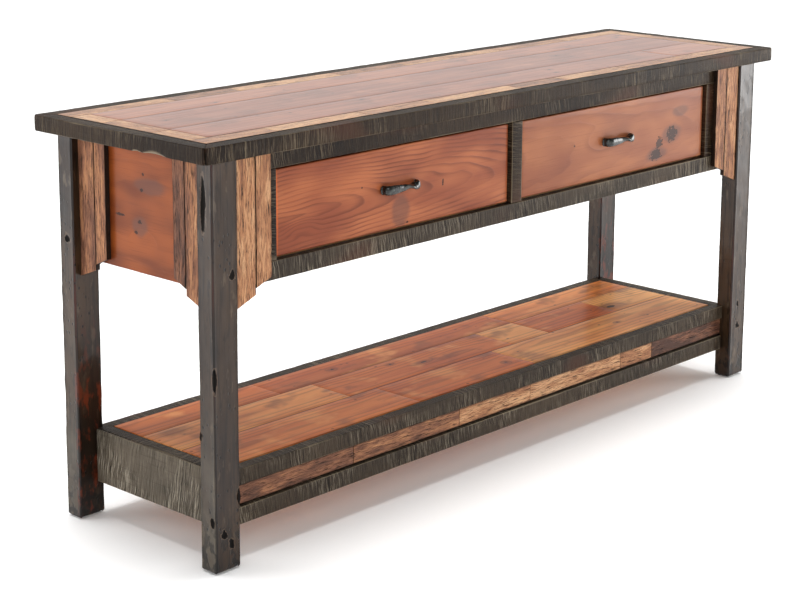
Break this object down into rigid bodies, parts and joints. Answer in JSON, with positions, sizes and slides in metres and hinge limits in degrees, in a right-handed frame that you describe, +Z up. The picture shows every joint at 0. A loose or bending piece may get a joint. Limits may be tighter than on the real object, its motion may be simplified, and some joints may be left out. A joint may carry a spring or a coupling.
{
  "type": "console table",
  "caption": "Long narrow rustic console table with inset drawers under a plank top and an open plank shelf near the floor.",
  "frame": {"origin": "on the floor, under the middle of the top", "axes": "+X along the table's length, to the right for someone facing the drawers; -Y towards that person; +Z up"},
  "size_m": [1.812, 0.498, 0.813],
  "materials": {
    "dark_leg_wood": "dark stain rubbed through at the arrises, satin lacquer",
    "dark_sawn_wood": "dark stain over rough saw marks, satin lacquer",
    "barn_siding": "weathered offcuts with dark grain, satin lacquer",
    "top_plank_wood": "reddish reclaimed pine, glossy lacquer",
    "shelf_plank_wood": "mixed reclaimed pine, glossy lacquer",
    "red_pine": "orange-red pine with strong grain, satin lacquer",
    "inner_wood": "plain unfinished wood",
    "forged_iron": "blackened forged iron, waxed",
    "screw_steel": "zinc plated",
    "slide_steel": "zinc plated folded steel",
    "glide_plastic": "pale nylon"
  },
  "bodies": {
    "table": {"top_edge_front": "dark_sawn_wood", "top_edge_back": "dark_sawn_wood", "top_edge_left": "dark_sawn_wood", "top_edge_right": "dark_sawn_wood", "top_inlay_front": "barn_siding", "top_inlay_back": "barn_siding", "top_inlay_ends": "barn_siding", "top_plank_back": "top_plank_wood", "top_plank_middle": "top_plank_wood", "top_plank_front": "top_plank_wood", "top_core": "inner_wood", "leg_front_left": "dark_leg_wood", "leg_front_right": "dark_leg_wood", "leg_back_left": "dark_leg_wood", "leg_back_right": "dark_leg_wood", "foot_glides": "glide_plastic", "apron_rail_top": "dark_sawn_wood", "apron_rail_bottom": "dark_sawn_wood", "apron_stile_left": "dark_sawn_wood", "apron_stile_centre": "dark_sawn_wood", "apron_stile_right": "dark_sawn_wood", "end_panel_left": "red_pine", "end_panel_right": "red_pine", "back_panel": "dark_sawn_wood", "bracket_front_left": "barn_siding", "bracket_front_right": "barn_siding", "bracket_left_end_front": "barn_siding", "bracket_left_end_back": "barn_siding", "bracket_right_end_front": "barn_siding", "bracket_right_end_back": "barn_siding", "drawer_guides": "inner_wood", "drawer_divider": "inner_wood", "fixed_slides": "slide_steel", "shelf_edge_front": "dark_sawn_wood", "shelf_edge_back": "dark_sawn_wood", "shelf_edge_left": "dark_sawn_wood", "shelf_edge_right": "dark_sawn_wood", "shelf_plank_back": "shelf_plank_wood", "shelf_plank_middle": "shelf_plank_wood", "shelf_plank_front": "shelf_plank_wood", "shelf_inlay": "barn_siding", "shelf_rail_front": "dark_sawn_wood", "shelf_rail_back": "dark_sawn_wood", "shelf_end_rail_left": "dark_sawn_wood", "shelf_end_rail_right": "dark_sawn_wood", "shelf_subframe": "inner_wood"},
    "left_drawer": {"left_drawer_front": "red_pine", "left_drawer_sides": "inner_wood", "left_drawer_back": "inner_wood", "left_drawer_bottom": "inner_wood", "left_drawer_slides": "slide_steel", "left_pull": "forged_iron", "left_pull_screws": "screw_steel"},
    "right_drawer": {"right_drawer_front": "red_pine", "right_drawer_sides": "inner_wood", "right_drawer_back": "inner_wood", "right_drawer_bottom": "inner_wood", "right_drawer_slides": "slide_steel", "right_pull": "forged_iron", "right_pull_screws": "screw_steel"}
  },
  "joints": [
    {"name": "left_drawer_slide", "type": "slide", "parent": "table", "child": "left_drawer", "axis": [0, -1, 0], "range_m": [0, 0.262]},
    {"name": "right_drawer_slide", "type": "slide", "parent": "table", "child": "right_drawer", "axis": [0, -1, 0], "range_m": [0, 0.262]}
  ]
}
